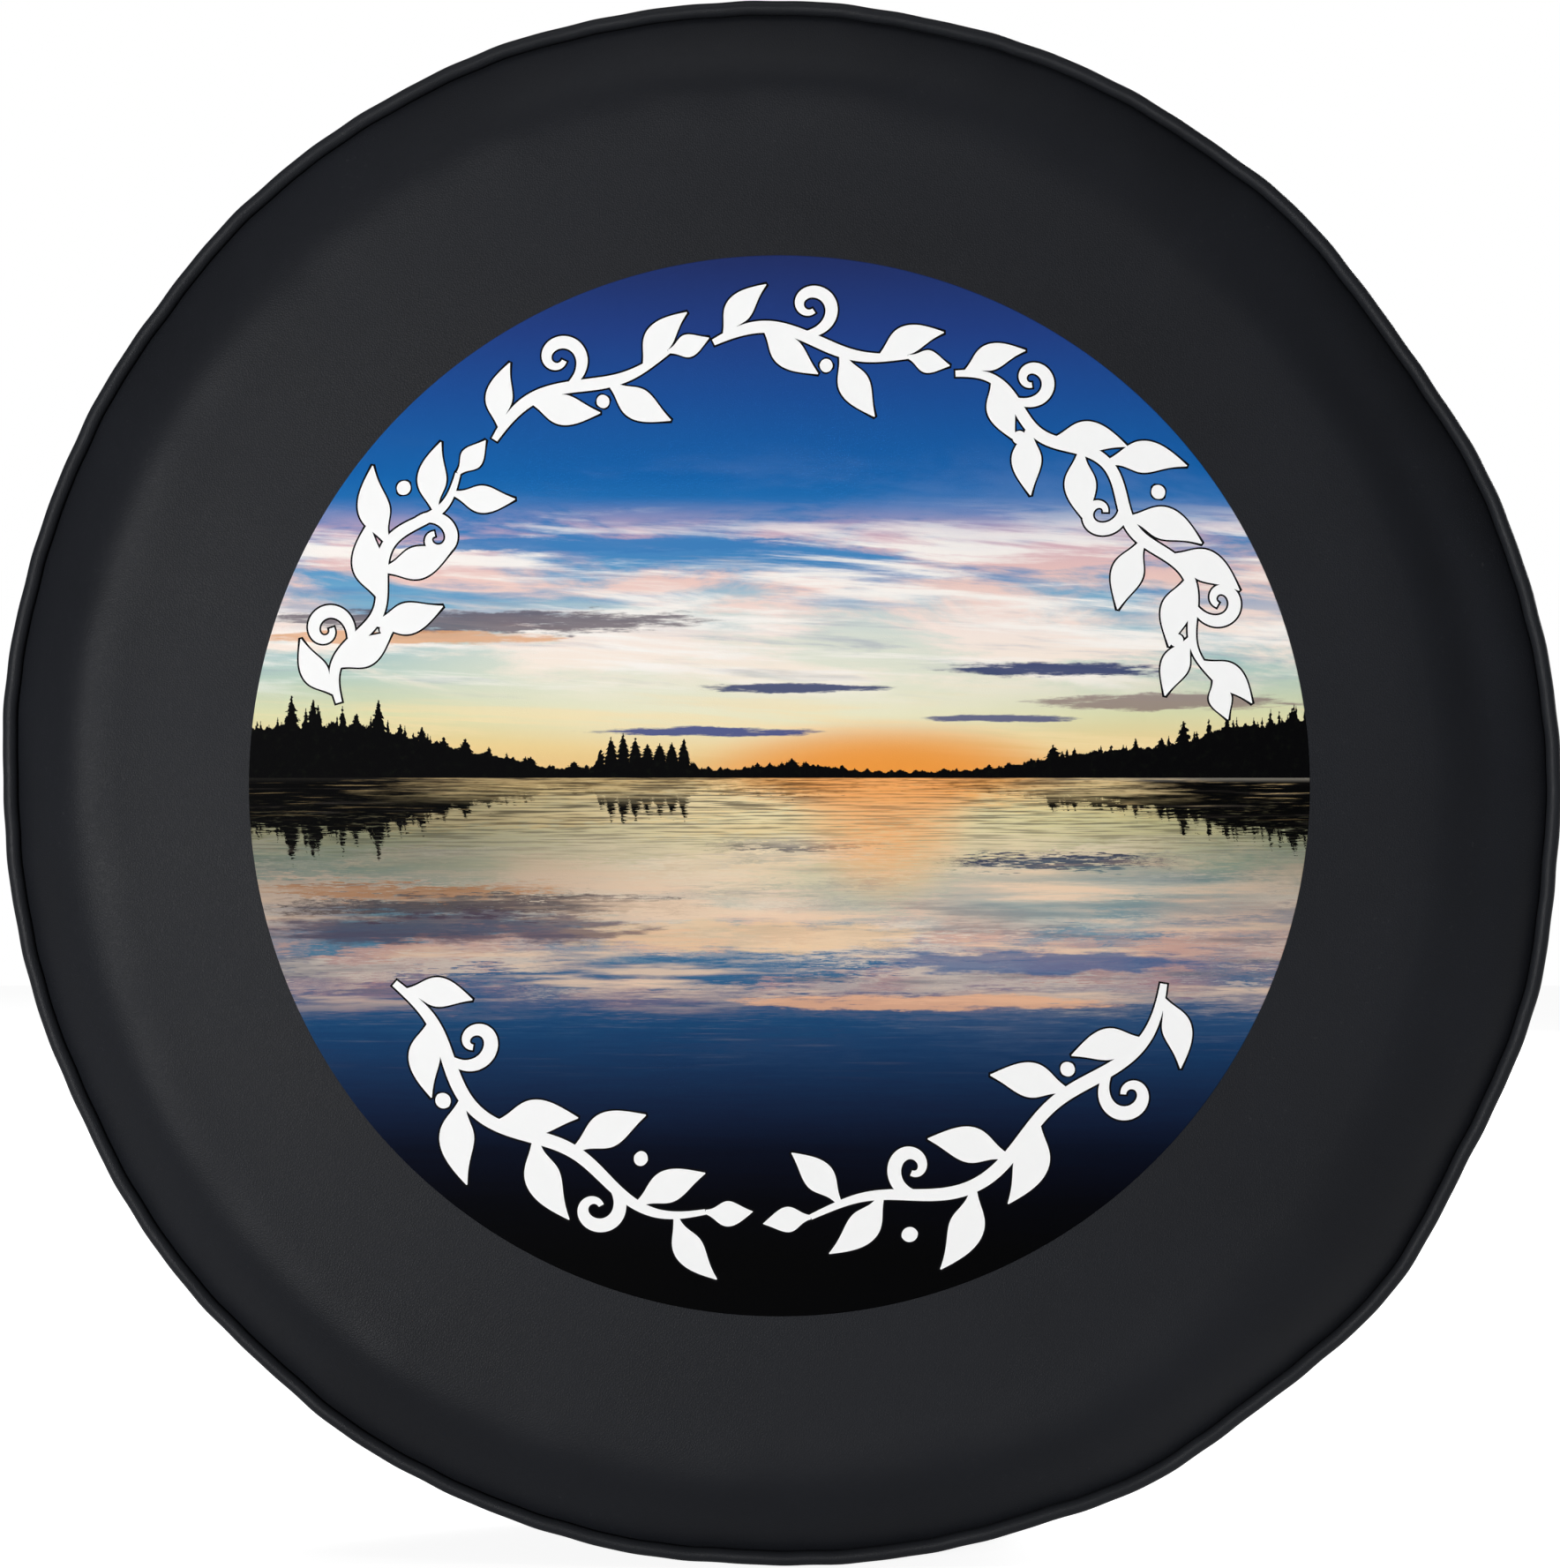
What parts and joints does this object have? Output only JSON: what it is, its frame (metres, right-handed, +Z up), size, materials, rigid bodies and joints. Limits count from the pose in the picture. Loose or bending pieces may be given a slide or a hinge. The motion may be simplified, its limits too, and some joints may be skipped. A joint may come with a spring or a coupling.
{
  "type": "spare tire cover",
  "caption": "Round soft vinyl cover that stretches over a spare tyre, with a printed scene on its face, a welted edge and an elastic rear hem.",
  "frame": {"origin": "middle of the tyre that the cover holds, on the wheel's axis and half way across the tread", "axes": "+Y along the wheel's axis from the printed face to the open rear, +Z up, +X to the right of someone looking at the face"},
  "size_m": [0.7568, 0.2337, 0.7568],
  "materials": {
    "vinyl": "matte black coated fabric with a fine grain",
    "print": "satin full-colour printed film",
    "cord": "plain twisted filler cord",
    "elastic": "black braided elastic",
    "thread": "black bonded polyester thread"
  },
  "bodies": {
    "root": {"face_panel": "vinyl", "printed_film": "print", "welt_skin": "vinyl", "welt_cord": "cord", "band_strip_right": "vinyl", "band_strip_left": "vinyl", "hem_elastic": "elastic", "welt_seam_thread": "thread", "hem_needle_thread": "thread", "hem_bobbin_thread": "thread", "top_seam_thread_right": "thread", "top_seam_thread_left": "thread", "bottom_seam_thread_right": "thread", "bottom_seam_thread_left": "thread"}
  },
  "joints": []
}
